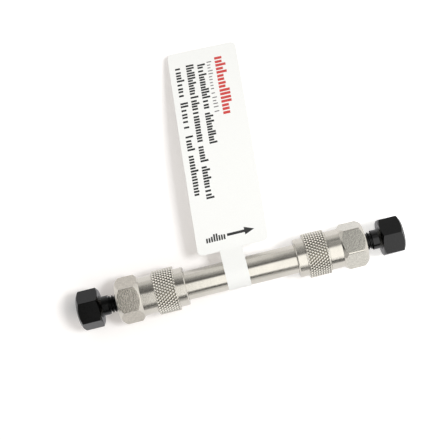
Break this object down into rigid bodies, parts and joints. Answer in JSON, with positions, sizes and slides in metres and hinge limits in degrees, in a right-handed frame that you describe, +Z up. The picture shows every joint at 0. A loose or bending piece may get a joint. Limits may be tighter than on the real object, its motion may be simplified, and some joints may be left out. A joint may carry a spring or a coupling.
{
  "type": "hplc column",
  "caption": "Short steel liquid chromatography column with knurled nuts, hex end fittings, black storage plugs in its ports and a white paper tag.",
  "frame": {"origin": "on the tube's axis, half way between the tube's two ends", "axes": "+X along the tube towards the outlet end, +Z up as the column lies on its two knurled nuts, +Y towards the free end of the paper tag"},
  "size_m": [0.0895, 0.0704, 0.0122],
  "materials": {
    "polished_steel": "turned and polished stainless steel",
    "plain_steel": "machined stainless steel with a fine matt grain on the flats",
    "sintered_steel": "matt sintered stainless steel",
    "ring_polymer": "natural beige engineering polymer",
    "packing": "packed fine white silica",
    "black_plastic": "black moulded plastic",
    "label_paper": "white coated paper"
  },
  "bodies": {
    "column": {"column_tube": "polished_steel", "packed_bed": "packing", "paper_label": "label_paper", "inlet_end_fitting": "plain_steel", "outlet_end_fitting": "plain_steel", "inlet_knurled_nut": "polished_steel", "outlet_knurled_nut": "polished_steel", "inlet_ferrule": "plain_steel", "outlet_ferrule": "plain_steel", "inlet_frit": "sintered_steel", "outlet_frit": "sintered_steel", "inlet_frit_ring": "ring_polymer", "outlet_frit_ring": "ring_polymer"},
    "inlet_plug_body": {"inlet_plug": "black_plastic"},
    "outlet_plug_body": {"outlet_plug": "black_plastic"}
  },
  "joints": [
    {"name": "inlet_plug_out", "type": "slide", "parent": "column", "child": "inlet_plug_body", "axis": [-1, 0, 0], "range_m": [0, 0.012]},
    {"name": "outlet_plug_out", "type": "slide", "parent": "column", "child": "outlet_plug_body", "axis": [1, 0, 0], "range_m": [0, 0.012]}
  ]
}
